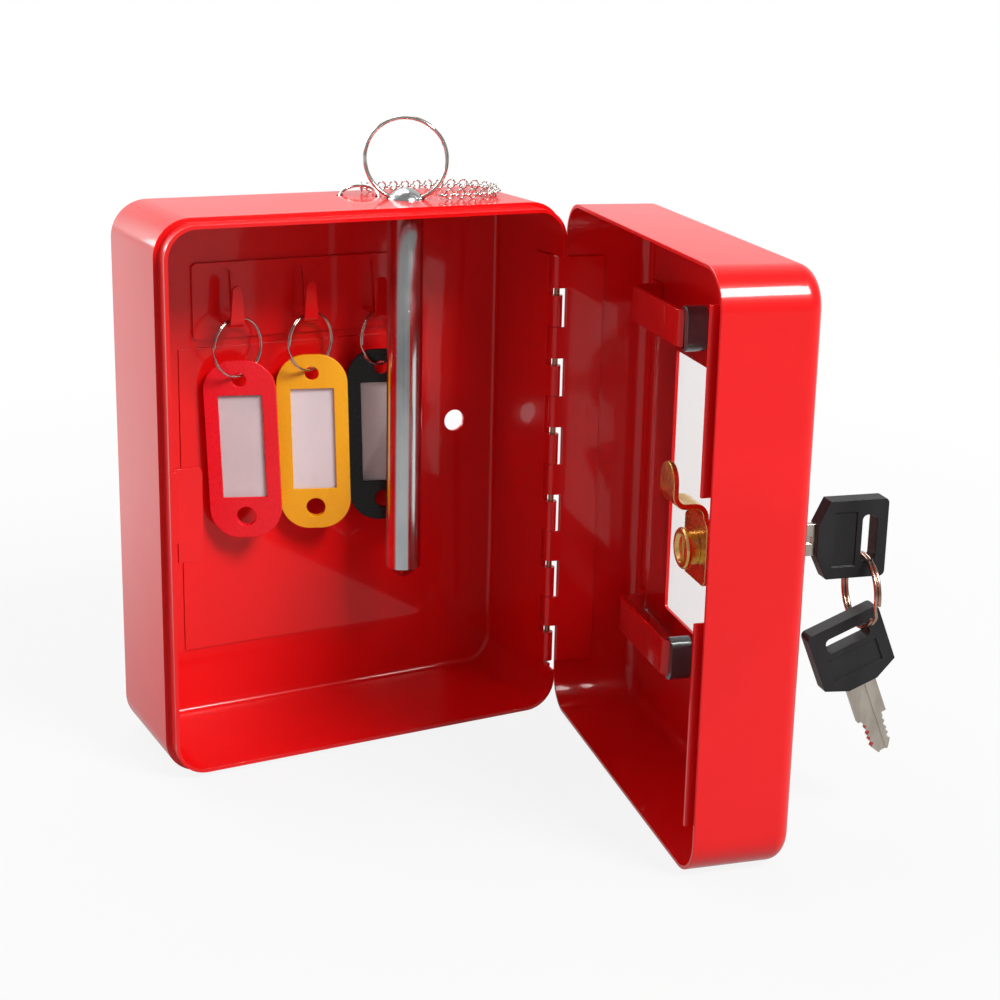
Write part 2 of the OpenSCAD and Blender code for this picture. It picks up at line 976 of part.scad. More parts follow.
module spare_key_bow() {
  color(BLACK)
    spare_key()
      key_bow_flat();
}

// Rod that breaks the glass: round head, chamfered point, cross hole for its ring.
module striker_rod() {
  tip = half_height - striker_drop;
  color(STEEL)
    translate([striker_x, -striker_depth, 0])
      difference() {
        union() {
          translate([0, 0, tip])
            cylinder(r = striker_radius, h = striker_drop, $fn = ROUND);
          translate([0, 0, tip - 3])
            cylinder(r1 = 1.5, r2 = striker_radius, h = 3, $fn = ROUND);
          intersection() {
            translate([0, 0, half_height + head_rise - head_sphere])
              sphere(r = head_sphere, $fn = ROUND);
            translate([0, 0, half_height - 1])
              cylinder(r = striker_radius, h = head_rise + 2, $fn = ROUND);
          }
        }
        translate([0, 0, cross_hole_z])
          rotate([0, 0, striker_turn])
            rotate([0, 90, 0])
              cylinder(r = cross_hole_radius, h = 4 * striker_radius, center = true);
      }
}

module striker_ring() {
  color(STEEL)
    translate([striker_x, -striker_depth, striker_ring_z])
      rotate([0, 0, striker_turn])
        rotate([90, 0, 0])
          split_ring(striker_ring_radius, striker_ring_wire);
}

module anchor_ring() {
  color(STEEL)
    translate([anchor_x, -anchor_depth, half_height - sheet / 2])
      rotate([0, 0, striker_turn])
        rotate([anchor_lean, 0, 0])
          wire_ring(anchor_radius, anchor_wire);
}

// One long link lying along X.
module chain_link() {
  bend = (link_width - link_wire) / 2;
  straight = link_length - link_width;
  for (side = [-1, 1]) {
    translate([-straight / 2, side * bend, 0])
      rotate([0, 90, 0])
        cylinder(d = link_wire, h = straight, $fn = 16);
    translate([side * straight / 2, 0, 0])
      rotate([0, 0, side > 0 ? -90 : 90])
        rotate_extrude(angle = 180, $fn = 32)
          translate([bend, 0])
            circle(d = link_wire, $fn = 16);
  }
}

// Chain of round loops laid in a U on top of the body: back run, bend, front run.
chain_turn_x = chain_left_x + (back_loops - 0.5) * loop_pitch;
chain_bend = (chain_back_y - chain_front_y) / 2;
bend_loops = round(PI * chain_bend / loop_pitch);
module retaining_chain() {
  color(STEEL) {
    anchor_link();
    translate([0, 0, chain_z]) {
      for (i = [0 : back_loops - 1])
        translate([chain_left_x + i * loop_pitch, chain_back_y, 0])
          chain_loop(i);
      for (i = [0 : bend_loops - 1])
        translate([chain_turn_x, (chain_back_y + chain_front_y) / 2, 0])
          rotate([0, 0, 90 - (i + 0.5) * 180 / bend_loops])
            translate([chain_bend, 0, 0])
              rotate([0, 0, 90])
                chain_loop(i + back_loops);
      for (i = [0 : front_loops - 1])
        translate([chain_turn_x - (i + 0.5) * loop_pitch, chain_front_y, 0])
          chain_loop(i + back_loops + bend_loops);
    }
  }
}

// Every other loop stands upright; the ones between lie flat, a little lower.
module chain_loop(i) {
  upright = i % 2;
  translate([0, 0, (upright - 1) * loop_sink])
    rotate([90 * upright, 0, 0])
      rotate_extrude($fn = 32)
        translate([loop_radius, 0])
          circle(d = link_wire, $fn = 6);
}

// Upright first link, threaded on the far side of the anchor ring.
module anchor_link() {
  hold = link_length / 2 - link_wire - anchor_wire / 2 - FIT;
  translate([anchor_x, -anchor_depth, half_height - sheet / 2])
    rotate([0, 0, striker_turn])
      translate([0, anchor_radius * cos(anchor_lean), anchor_radius * sin(anchor_lean)])
        rotate([0, 0, 90])
          rotate([0, anchor_link_drop, 0])
            translate([hold, 0, 0])
              rotate([90, 0, 0])
                chain_link();
}

module tag_place(i) {
  translate([hook_x + ring_shift + i * hook_pitch, -ring_depth, 0])
    children();
}

module tag_ring(i) {
  color(STEEL)
    tag_place(i)
      translate([0, 0, ring_y])
        rotate([0, 0, ring_turns[i]])
          rotate([90, 0, 0])
            split_ring(ring_radius, ring_wire);
}

// A tag hangs with its hole on the bottom of the ring, turned across the ring.
module on_tag(i) {
  tag_place(i)
    translate([tag_shift, 0, tag_hole_y])
      rotate([0, 0, -tag_turns[i]])
        rotate([90, 0, 0])
          rotate([0, 0, tag_leans[i]])
            children();
}

module tag_plan() {
  translate([0, tag_hole_drop - tag_length / 2])
    rounded_plan(tag_width, tag_length, tag_round);
}

module label_block(grow, z0, z1) {
  middle = tag_hole_drop - label_drop - label_height / 2;
  translate([-label_width / 2 - grow, middle - label_height / 2 - grow, z0])
    cube([label_width + 2 * grow, label_height + 2 * grow, z1 - z0]);
}

tag_front = tag_head_thickness / 2;
tag_back = tag_front - tag_thickness;
film_back = tag_front - tag_lip - film_thickness;
module tag_frame(i, tint) {
  color(tint)
    on_tag(i)
      difference() {
        translate([0, 0, tag_back])
          linear_extrude(tag_thickness)
            tag_plan();
        slab(-tag_width, tag_width, tag_hole_drop - label_drop + 2, 2 * tag_hole_drop,
          tag_back - CUT, -tag_front);
        translate([0, 0, tag_back - CUT])
          cylinder(r = tag_hole_radius, h = tag_thickness + 2 * CUT);
        translate([0, tag_hole_drop - tag_length + tag_foot_hole_rise, tag_back - CUT])
          cylinder(r = tag_foot_hole_radius, h = tag_thickness + 2 * CUT);
        label_block(0, film_back, tag_front + CUT);
        label_block(label_lap, film_back - paper_thickness, tag_front - tag_lip);
      }
}

module tag_label(i) {
  color(PAPER)
    on_tag(i)
      label_block(label_lap - FIT, film_back - paper_thickness, film_back);
}

module tag_film(i) {
  color(CLEAR_PLASTIC)
    on_tag(i)
      label_block(label_lap - FIT, film_back, tag_front - tag_lip);
}

body_shell();
hook_plate();
latch_keeper();
hinge_leaf_body();
hinge_pin();
lid_shell();
hinge_leaf_lid();
lid_guard_strip();
glass_pane();
glass_clip_top();
glass_clip_bottom();
clip_sleeve_top();
clip_sleeve_bottom();
lock_barrel();
lock_nut();
lock_plug();
lock_wafers();
wafer_springs();
lock_cam();
cam_nut();
key_blade();
key_bow();
key_ring();
spare_key_blade();
spare_key_bow();
striker_rod();
striker_ring();
anchor_ring();
retaining_chain();
tag_ring(0);  // tag_ring_red
tag_frame(0, RED_PAINT);  // tag_frame_red
tag_label(0);  // tag_label_red
tag_film(0);  // tag_film_red
tag_ring(1);  // tag_ring_yellow
tag_frame(1, YELLOW);  // tag_frame_yellow
tag_label(1);  // tag_label_yellow
tag_film(1);  // tag_film_yellow
tag_ring(2);  // tag_ring_black
tag_frame(2, BLACK);  // tag_frame_black
tag_label(2);  // tag_label_black
tag_film(2);  // tag_film_black
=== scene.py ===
"""Finishes and fine detail of the break glass key box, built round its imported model."""

import json
import logging
import math
from collections.abc import Sequence
from dataclasses import dataclass
from enum import Enum

import bmesh
import bpy
import numpy as np
from mathutils import Matrix, Vector

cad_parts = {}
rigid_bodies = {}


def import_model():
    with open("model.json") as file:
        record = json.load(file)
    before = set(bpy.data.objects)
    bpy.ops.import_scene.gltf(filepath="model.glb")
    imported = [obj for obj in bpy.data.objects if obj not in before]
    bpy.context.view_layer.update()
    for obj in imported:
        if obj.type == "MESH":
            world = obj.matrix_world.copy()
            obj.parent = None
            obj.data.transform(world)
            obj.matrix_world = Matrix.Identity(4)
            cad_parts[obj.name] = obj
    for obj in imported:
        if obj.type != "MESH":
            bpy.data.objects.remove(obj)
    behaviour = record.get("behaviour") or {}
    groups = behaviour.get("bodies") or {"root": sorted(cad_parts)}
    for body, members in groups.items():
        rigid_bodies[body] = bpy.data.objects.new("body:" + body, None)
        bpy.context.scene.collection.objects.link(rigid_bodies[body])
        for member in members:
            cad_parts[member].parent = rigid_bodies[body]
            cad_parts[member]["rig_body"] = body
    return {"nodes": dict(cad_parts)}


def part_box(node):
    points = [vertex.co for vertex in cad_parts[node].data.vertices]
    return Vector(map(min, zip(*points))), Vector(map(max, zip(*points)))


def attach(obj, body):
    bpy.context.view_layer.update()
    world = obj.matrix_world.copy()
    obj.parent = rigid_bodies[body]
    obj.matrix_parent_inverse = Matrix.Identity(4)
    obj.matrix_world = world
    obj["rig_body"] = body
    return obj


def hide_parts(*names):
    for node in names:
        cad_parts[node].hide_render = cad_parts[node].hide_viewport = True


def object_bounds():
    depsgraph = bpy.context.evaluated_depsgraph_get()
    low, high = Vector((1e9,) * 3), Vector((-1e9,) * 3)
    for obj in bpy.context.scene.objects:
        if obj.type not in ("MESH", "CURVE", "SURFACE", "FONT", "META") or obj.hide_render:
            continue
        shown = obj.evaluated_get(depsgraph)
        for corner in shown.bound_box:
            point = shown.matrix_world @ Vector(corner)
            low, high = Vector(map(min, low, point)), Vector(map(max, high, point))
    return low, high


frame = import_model()
BOX_OF_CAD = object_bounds()
LOG = logging.getLogger("key_box")

Triple = tuple[float, float, float]
Colour = Triple
Span = tuple[float, float]
MM = 0.001
SHEEN_ROUGHNESS = 0.05
SHARP_EDGE = math.radians(40.0)
LID_ANGLE = math.radians(77.8)
LID_ACROSS = np.array([math.cos(LID_ANGLE), math.sin(LID_ANGLE), 0.0])
UP = np.array([0.0, 0.0, 1.0])


# Shader graphs


class Term:
    """A shader value that adds Math nodes when it is used in an expression."""

    def __init__(self, graph: "Graph", socket: bpy.types.NodeSocket) -> None:
        """Wraps a socket of a graph."""
        self.graph = graph
        self.socket = socket

    def _math(self, operation: str, first: "Term | float", second: "Term | float") -> "Term":
        """Adds one Math node and returns its result."""
        node = self.graph.node("ShaderNodeMath", {"operation": operation}, {0: first, 1: second})
        return Term(self.graph, node.outputs[0])

    def __add__(self, other: "Term | float") -> "Term":
        """Returns self + other."""
        return self._math("ADD", self, other)

    def __radd__(self, other: float) -> "Term":
        """Returns other + self."""
        return self._math("ADD", other, self)

    def __sub__(self, other: "Term | float") -> "Term":
        """Returns self - other."""
        return self._math("SUBTRACT", self, other)

    def __rsub__(self, other: float) -> "Term":
        """Returns other - self."""
        return self._math("SUBTRACT", other, self)

    def __mul__(self, other: "Term | float") -> "Term":
        """Returns self * other."""
        return self._math("MULTIPLY", self, other)

    def __rmul__(self, other: float) -> "Term":
        """Returns other * self."""
        return self._math("MULTIPLY", other, self)

    def over(self, span: Span) -> "Term":
        """Returns 0 below a span, 1 above it and a smooth step inside it."""
        low, high = span
        node = self.graph.node(
            "ShaderNodeMapRange", {"interpolation_type": "SMOOTHSTEP"}, {0: self, 1: low, 2: high}
        )
        return Term(self.graph, node.outputs[0])


class Graph:
    """One material's nodes, with a method for each kind of pattern that the finishes use."""

    def __init__(self, name: str) -> None:
        """Starts an empty material of that name."""
        self.material = bpy.data.materials.new(name)
        self.material.use_nodes = True
        self.tree = self.material.node_tree
        self.tree.nodes.clear()
        self.place = self.node("ShaderNodeTexCoord").outputs["Object"]

    def node(
        self, kind: str, settings: dict[str, object] | None = None,
        inputs: dict[int | str, object] | None = None,
    ) -> bpy.types.Node:
        """Adds a node.

        Args:
            kind: The node's type name.
            settings: Its settings; "stops" holds a ramp's positions and colours.
            inputs: Values, Terms or sockets for its inputs, by number or name.

        Returns:
            The new node.
        """
        node = self.tree.nodes.new(kind)
        for key, value in (settings or {}).items():
            if key == "stops":
                self._set_stops(node.color_ramp, value)
            else:
                setattr(node, key, value)
        for key, value in (inputs or {}).items():
            source = value.socket if isinstance(value, Term) else value
            if isinstance(source, bpy.types.NodeSocket):
                self.tree.links.new(source, node.inputs[key])
            else:
                node.inputs[key].default_value = source
        return node

    @staticmethod
    def _set_stops(ramp: bpy.types.ColorRamp, stops: Sequence[tuple[float, Colour]]) -> None:
        """Gives a colour ramp its stops."""
        while len(ramp.elements) < len(stops):
            ramp.elements.new(0.5)
        for element, (position, colour) in zip(ramp.elements, stops):
            element.position = position
            element.color = (*colour, 1.0)

    def noise(
        self, scale: float, detail: float = 2.0, stretch: Triple = (1.0, 1.0, 1.0)
    ) -> Term:
        """Adds a noise pattern on the object's coordinates.

        Args:
            scale: Cells in a metre.
            detail: Octaves of the noise.
            stretch: Factors on the coordinates; a small one draws the cells out.

        Returns:
            The pattern, from 0 to 1.
        """
        mapping = self.node("ShaderNodeMapping", None, {"Vector": self.place, "Scale": stretch})
        node = self.node("ShaderNodeTexNoise", None,
                         {"Vector": mapping.outputs[0], "Scale": scale, "Detail": detail})
        return Term(self, node.outputs["Fac"])

    def ramp(self, value: Term, stops: Sequence[tuple[float, Colour]]) -> bpy.types.NodeSocket:
        """Returns the colour that a value has on a ramp of stops."""
        return self.node("ShaderNodeValToRGB", {"stops": stops}, {0: value}).outputs[0]

    def mix(
        self, factor: Term, low: Colour | bpy.types.NodeSocket, high: Colour | bpy.types.NodeSocket
    ) -> bpy.types.NodeSocket:
        """Returns the colour between low and high at a factor."""
        inputs = {0: factor}
        for key, colour in ((6, low), (7, high)):
            inputs[key] = (*colour, 1.0) if isinstance(colour, tuple) else colour
        return self.node("ShaderNodeMix", {"data_type": "RGBA"}, inputs).outputs[2]

    def bump(self, height: Term, depth: float) -> bpy.types.NodeSocket:
        """Returns the normal of a height pattern whose full range is depth metres."""
        inputs = {"Height": height, "Distance": depth, "Strength": 1.0}
        return self.node("ShaderNodeBump", None, inputs).outputs[0]

    def shade(self, **sockets: object) -> bpy.types.Material:
        """Ends the graph in a Principled shader.

        Args:
            **sockets: The shader's inputs by name, with _ for a space.

        Returns:
            The finished material.
        """
        inputs = {key.replace("_", " "): value for key, value in sockets.items()}
        for key, value in inputs.items():
            if isinstance(value, tuple) and len(value) == 3:
                inputs[key] = (*value, 1.0)
        shader = self.node("ShaderNodeBsdfPrincipled", None, inputs)
        self.node("ShaderNodeOutputMaterial", None, {0: shader.outputs[0]})
        return self.material


# Finishes


@dataclass(frozen=True)
class PowderCoat:
    """Glossy powder coat with fine orange peel."""

    name: str = "red_powder_coat"
    colour: Colour = (0.80, 0.004, 0.006)
    deep: Colour = (0.74, 0.003, 0.004)
    cloud_scale: float = 22.0
    cloud_span: Span = (0.35, 0.7)
    peel_scale: float = 420.0
    wave_scale: float = 90.0
    wave_share: float = 0.8
    peel_depth: float = 0.006 * MM
    roughness: float = 0.26
    roughness_spread: float = 0.06
    gloss_scale: float = 60.0
    specular: float = 0.25
    coat: float = 0.5
    coat_ior: float = 1.5

    def material(self) -> bpy.types.Material:
        """Returns the coat: two noises for the peel, one each for the colour and the gloss."""
        graph = Graph(self.name)
        cloud = graph.noise(self.cloud_scale, detail=3.0).over(self.cloud_span)
        peel = graph.noise(self.peel_scale, detail=1.0)
        wave = graph.noise(self.wave_scale, detail=1.0)
        gloss = graph.noise(self.gloss_scale, detail=4.0)
        return graph.shade(
            Base_Color=graph.mix(cloud, self.deep, self.colour),
            Roughness=self.roughness + self.roughness_spread * gloss,
            Normal=graph.bump(peel + self.wave_share * wave, self.peel_depth),
            Specular_IOR_Level=self.specular,
            Coat_Weight=self.coat, Coat_Roughness=SHEEN_ROUGHNESS, Coat_IOR=self.coat_ior,
        )


@dataclass(frozen=True)
class ZincPlate:
    """Plated or bare metal, blotched and pitted, with drawn lines along one axis."""

    name: str
    light: Colour = (0.82, 0.83, 0.84)
    dark: Colour = (0.45, 0.47, 0.48)
    blotch_scale: float = 160.0
    line_stretch: Triple = (1.0, 1.0, 0.05)
    roughness: float = 0.22
    blotch_stretch: Triple = (1.0, 1.0, 0.45)
    blotch_span: Span = (0.38, 0.66)
    blotch_share: float = 0.55
    blotch_roughness: float = 0.12
    line_scale: float = 1800.0
    line_share: float = 0.45
    line_roughness: float = 0.08
    pit_scale: float = 1100.0
    pit_span: Span = (0.68, 0.76)
    pit_share: float = 1.5
    depth: float = 0.01 * MM

    def material(self) -> bpy.types.Material:
        """Returns the plating: blotches tint it, drawn-out noise is its lines, specks are pits."""
        graph = Graph(self.name)
        blotch = graph.noise(self.blotch_scale, detail=5.0, stretch=self.blotch_stretch)
        blotch = blotch.over(self.blotch_span)
        lines = graph.noise(self.line_scale, detail=3.0, stretch=self.line_stretch)
        pits = graph.noise(self.pit_scale).over(self.pit_span)
        tone = blotch * self.blotch_share + lines * self.line_share
        dull = self.roughness + self.blotch_roughness * blotch + self.line_roughness * lines
        return graph.shade(
            Base_Color=graph.mix(tone, self.dark, self.light),
            Metallic=1.0,
            Roughness=dull,
            Normal=graph.bump(lines - self.pit_share * pits, self.depth),
        )


@dataclass(frozen=True)
class BrightWire:
    """Bright nickel wire with light draw marks."""

    name: str = "nickel_wire_bright"
    colour: Colour = (0.78, 0.76, 0.72)
    dark: Colour = (0.52, 0.49, 0.45)
    tarnish_scale: float = 260.0
    tarnish_span: Span = (0.35, 0.75)
    roughness: float = 0.1
    roughness_spread: float = 0.14
    gloss_scale: float = 900.0
    draw_scale: float = 2400.0
    depth: float = 0.006 * MM

    def material(self) -> bpy.types.Material:
        """Returns the wire: noises for its tarnish, its gloss and its draw marks."""
        graph = Graph(self.name)
        tarnish = graph.noise(self.tarnish_scale, detail=4.0).over(self.tarnish_span)
        gloss = graph.noise(self.gloss_scale, detail=3.0)
        return graph.shade(
            Base_Color=graph.mix(tarnish, self.dark, self.colour),
            Metallic=1.0,
            Roughness=self.roughness + self.roughness_spread * gloss,
            Normal=graph.bump(graph.noise(self.draw_scale), self.depth),
        )


@dataclass(frozen=True)
class YellowPassivate:
    """Yellow zinc passivation, shot with green and rose."""

    name: str = "yellow_zinc_passivated"
    film_scale: float = 120.0
    roughness: float = 0.2
    roughness_spread: float = 0.15
    gloss_scale: float = 500.0
    grain_scale: float = 1400.0
    depth: float = 0.012 * MM
    stops: tuple[tuple[float, Colour], ...] = (
        (0.3, (0.50, 0.40, 0.12)), (0.42, (0.80, 0.52, 0.14)), (0.52, (0.86, 0.62, 0.22)),
        (0.6, (0.78, 0.40, 0.20)), (0.7, (0.66, 0.60, 0.24)),
    )

    def material(self) -> bpy.types.Material:
        """Returns the finish: a slow noise runs through the film's colours."""
        graph = Graph(self.name)
        film = graph.noise(self.film_scale, detail=3.0)
        gloss = graph.noise(self.gloss_scale, detail=4.0)
        return graph.shade(
            Base_Color=graph.ramp(film, self.stops),
            Metallic=1.0,
            Roughness=self.roughness + self.roughness_spread * gloss,
            Normal=graph.bump(graph.noise(self.grain_scale, detail=3.0), self.depth),
        )


@dataclass(frozen=True)
class Moulded:
    """Moulded plastic with a skin of its own grain."""

    name: str
    colour: Colour
    shade: Colour
    roughness: float = 0.25
    grain_scale: float = 700.0
    grain_depth: float = 0.01 * MM
    coat: float = 0.0
    coat_roughness: float = 0.08
    roughness_spread: float = 0.12
    flow_scale: float = 70.0
    flow_stretch: Triple = (1.0, 1.0, 0.4)
    flow_span: Span = (0.3, 0.72)
    specular: float = 0.3

    def material(self) -> bpy.types.Material:
        """Returns the plastic: flow marks tint it and a fine grain roughens it."""
        graph = Graph(self.name)
        flow = graph.noise(self.flow_scale, detail=3.0, stretch=self.flow_stretch)
        grain = graph.noise(self.grain_scale, detail=3.0)
        return graph.shade(
            Base_Color=graph.mix(flow.over(self.flow_span), self.shade, self.colour),
            Roughness=self.roughness + self.roughness_spread * grain,
            Normal=graph.bump(grain, self.grain_depth),
            Specular_IOR_Level=self.specular,
            Coat_Weight=self.coat, Coat_Roughness=self.coat_roughness,
        )


@dataclass(frozen=True)
class WindowGlass:
    """Clear glass with a trace of green and faint wipe marks."""

    name: str = "clear_glass"
    clear: Colour = (0.97, 0.99, 0.98)
    wiped: Colour = (0.93, 0.96, 0.95)
    wipe_scale: float = 40.0
    wipe_stretch: Triple = (1.0, 1.0, 0.3)
    wipe_span: Span = (0.55, 0.8)
    roughness: float = 0.01
    roughness_spread: float = 0.05
    ior: float = 1.3

    def material(self) -> bpy.types.Material:
        """Returns the glass: wipe marks change its tint and roughness a little."""
        graph = Graph(self.name)
        wipe = graph.noise(self.wipe_scale, detail=4.0, stretch=self.wipe_stretch)
        wipe = wipe.over(self.wipe_span)
        return graph.shade(
            Base_Color=graph.mix(wipe, self.clear, self.wiped),
            Roughness=self.roughness + self.roughness_spread * wipe,
            Transmission_Weight=1.0, IOR=self.ior,
        )


@dataclass(frozen=True)
class LabelPaper:
    """Uncoated paper with short fibres."""

    name: str = "label_paper_white"
    shade: Colour = (0.70, 0.60, 0.62)
    white: Colour = (0.86, 0.80, 0.82)
    fibre_scale: float = 1500.0
    fibre_stretch: Triple = (0.35, 1.0, 1.0)
    fibre_share: float = 0.4
    fibre_depth: float = 0.02 * MM
    cloud_scale: float = 55.0
    cloud_share: float = 0.6
    roughness: float = 0.75

    def material(self) -> bpy.types.Material:
        """Returns the paper: long noise for fibres, slow noise for its cloudiness."""
        graph = Graph(self.name)
        fibre = graph.noise(self.fibre_scale, detail=4.0, stretch=self.fibre_stretch)
        cloud = graph.noise(self.cloud_scale)
        tone = fibre * self.fibre_share + cloud * self.cloud_share
        return graph.shade(
            Base_Color=graph.mix(tone, self.shade, self.white),
            Roughness=self.roughness,
            Normal=graph.bump(fibre, self.fibre_depth),
        )


@dataclass(frozen=True)
class ClearFilm:
    """Thin film over a label, slightly wavy and milky."""

    name: str = "label_film_clear"
    tint: Colour = (0.93, 0.9, 0.92)
    scuff_scale: float = 300.0
    scuff_stretch: Triple = (1.0, 1.0, 0.2)
    scuff_span: Span = (0.6, 0.8)
    roughness: float = 0.16
    roughness_spread: float = 0.2
    alpha: float = 0.2
    alpha_spread: float = 0.1
    wave_scale: float = 110.0
    wave_depth: float = 0.06 * MM

    def material(self) -> bpy.types.Material:
        """Returns the film: nearly clear, with scuffs that show a little more."""
        graph = Graph(self.name)
        scuff = graph.noise(self.scuff_scale, detail=5.0, stretch=self.scuff_stretch)
        scuff = scuff.over(self.scuff_span)
        return graph.shade(
            Base_Color=self.tint,
            Roughness=self.roughness + self.roughness_spread * scuff,
            Alpha=self.alpha + self.alpha_spread * scuff,
            Normal=graph.bump(graph.noise(self.wave_scale), self.wave_depth),
        )


class Coat(Enum):
    """Every finish on the box."""

    RED = PowderCoat()
    ROD = ZincPlate("striker_zinc", (0.80, 0.82, 0.83), (0.52, 0.54, 0.55),
                    blotch_scale=90.0, line_stretch=(1.0, 1.0, 0.02), roughness=0.1)
    FITTING = ZincPlate("fitting_zinc", blotch_scale=300.0, line_stretch=(1.0, 1.0, 1.0))
    KEY = ZincPlate("key_nickel", (0.80, 0.74, 0.64), (0.58, 0.50, 0.42),
                    blotch_scale=240.0, line_stretch=(1.0, 1.0, 0.06), roughness=0.18)
    PIN = ZincPlate("hinge_pin_copper", (0.55, 0.30, 0.18), (0.26, 0.12, 0.06),
                    blotch_scale=400.0)
    BRASS = ZincPlate("wafer_brass_stamped", (0.80, 0.62, 0.30), (0.58, 0.42, 0.18),
                      blotch_scale=500.0)
    WIRE = BrightWire()
    RING_WIRE = BrightWire("key_ring_rose", (0.80, 0.60, 0.50), (0.42, 0.27, 0.20))
    YELLOW_ZINC = YellowPassivate()
    SLEEVE = Moulded("soft_sleeve_grey", (0.10, 0.10, 0.11), (0.04, 0.04, 0.045),
                     roughness=0.1, grain_scale=230.0, grain_depth=0.4 * MM, coat=0.8)
    BLACK = Moulded("key_bow_black", (0.022, 0.022, 0.024), (0.010, 0.010, 0.011),
                    roughness=0.34, grain_scale=1600.0, grain_depth=0.03 * MM)
    TAG_RED = Moulded("tag_red_gloss", (0.84, 0.012, 0.026), (0.78, 0.008, 0.018),
                      roughness=0.22)
    TAG_YELLOW = Moulded("tag_yellow_gloss", (0.92, 0.45, 0.008), (0.86, 0.38, 0.005),
                         roughness=0.22)
    TAG_BLACK = Moulded("tag_black_gloss", (0.012, 0.013, 0.012), (0.006, 0.007, 0.006),
                        roughness=0.2)
    GLASS = WindowGlass()
    PAPER = LabelPaper()
    FILM = ClearFilm()


_made: dict[Coat, bpy.types.Material] = {}


def coat(obj: bpy.types.Object, finish: Coat) -> None:
    """Gives an object one finish on all its faces, making its material on first use."""
    if finish not in _made:
        _made[finish] = finish.value.material()
    obj.data.materials.clear()
    obj.data.materials.append(_made[finish])


# Meshes


def tube_faces(rows: int, columns: int) -> np.ndarray:
    """Numbers the four corners of each cell between the sections of a tube.

    Args:
        rows: Sections along the tube.
        columns: Vertices round each section.

    Returns:
        An array of faces, four vertex numbers each: (r, c), (r, c + 1), (r + 1, c + 1), (r + 1, c),
        with r * columns + c as a vertex's number and c wrapped round the section.
    """
    r, c = np.meshgrid(np.arange(rows - 1), np.arange(columns), indexing="ij")
    after = (c + 1) % columns
    corners = [r * columns + c, r * columns + after,
               (r + 1) * columns + after, (r + 1) * columns + c]
    return np.stack(corners, axis=-1).reshape(-1, 4)


def make_piece(
    name: str, points: np.ndarray, faces: Sequence[Sequence[int]]
) -> bpy.types.Object:
    """Makes a smooth-shaded object from vertices and faces.

    Args:
        name: The piece's name.
        points: Vertices in metres, one row each.
        faces: Vertex numbers of each face.

    Returns:
        The object, linked to the scene, with its normals pointing outwards and its sharp
        edges kept.
    """
    mesh = bpy.data.meshes.new(name)
    mesh.from_pydata(points.tolist(), [], [list(map(int, face)) for face in faces])
    work = bmesh.new()
    work.from_mesh(mesh)
    bmesh.ops.recalc_face_normals(work, faces=work.faces)
    work.to_mesh(mesh)
    work.free()
    mesh.polygons.foreach_set("use_smooth", np.ones(len(mesh.polygons), bool))
    mesh.set_sharp_from_angle(angle=SHARP_EDGE)
    piece = bpy.data.objects.new(name, mesh)
    bpy.context.scene.collection.objects.link(piece)
    return piece


def round_section(width: float, height: float, count: int) -> np.ndarray:
    """Returns an ellipse's points: (width / 2 * cos, height / 2 * sin) of evenly spaced angles."""
    angle = np.linspace(0.0, 2.0 * math.pi, count, endpoint=False)
    return np.stack([0.5 * width * np.cos(angle), 0.5 * height * np.sin(angle)], axis=1)


def carry(
    path: np.ndarray, normal: np.ndarray, side: np.ndarray, section: np.ndarray
) -> tuple[np.ndarray, list[list[int]]]:
    """Carries a section along an open path.

    Args:
        path: Centre points, one row each.
        normal: Direction of the section's x at each point.
        side: Direction of the section's y at each point.
        section: The section's points.

    Returns:
        Vertices at path + x * normal + y * side, and the faces between them, with each end
        closed by one face.
    """
    points = (path[:, None, :] + section[None, :, :1] * normal[:, None, :]
              + section[None, :, 1:] * side[:, None, :])
    rows, columns = len(path), len(section)
    faces = tube_faces(rows, columns).tolist()
    faces.append(list(range(columns)))
    faces.append(list(range((rows - 1) * columns, rows * columns)))
    return points.reshape(-1, 3), faces


def middle_of(node: str) -> np.ndarray:
    """Returns the middle of a CAD node's box at rest."""
    low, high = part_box(node)
    return np.array((low + high) / 2)


def turned(degrees: float) -> np.ndarray:
    """Returns the level direction at an angle from +X."""
    turn = math.radians(degrees)
    return np.array([math.cos(turn), math.sin(turn), 0.0])


@dataclass
class SplitRing:
    """Two turns of wire, crossing over at one place.

    Args:
        centre: Middle of the ring.
        along: Direction of angle 0 in the ring's plane.
        across: Direction of a quarter turn.
        radius: Radius of the wire's middle line.
        wire: Thickness of the wire.
        start: Angle of the crossing, in radians.
        gap: Half the angle that the crossing takes.
        end_share: Angle left open at each end, in gaps.
        flatness: Thickness along the ring's axis, in thicknesses of the wire.
        steps: Sections along the wire.
        sides: Vertices round a section.
    """

    centre: np.ndarray
    along: np.ndarray
    across: np.ndarray
    radius: float
    wire: float
    start: float
    gap: float = 0.2
    end_share: float = 1.15
    flatness: float = 0.98
    steps: int = 260
    sides: int = 16

    def build(self, name: str) -> bpy.types.Object:
        """Makes the ring's mesh.

        Args:
            name: The piece's name.

        Returns:
            The ring: its middle line runs through two turns at a fixed radius, and its step along
            the ring's axis goes from minus to plus half a wire in the crossing, as
            1.5 * t - 0.5 * t ** 3 of t from -1 to 1.
        """
        axis = np.cross(self.along, self.across)
        end = self.gap * self.end_share
        turn = np.linspace(end, 4.0 * math.pi - end, self.steps)
        cross = np.clip((turn - 2.0 * math.pi) / self.gap, -1.0, 1.0)
        step = 0.5 * self.wire * (1.5 * cross - 0.5 * cross ** 3)
        angle = turn + self.start
        out = np.cos(angle)[:, None] * self.along + np.sin(angle)[:, None] * self.across
        path = self.centre + self.radius * out + step[:, None] * axis
        section = round_section(self.wire, self.wire * self.flatness, self.sides)
        points, faces = carry(path, out, np.tile(axis, (len(path), 1)), section)
        return make_piece(name, points, faces)


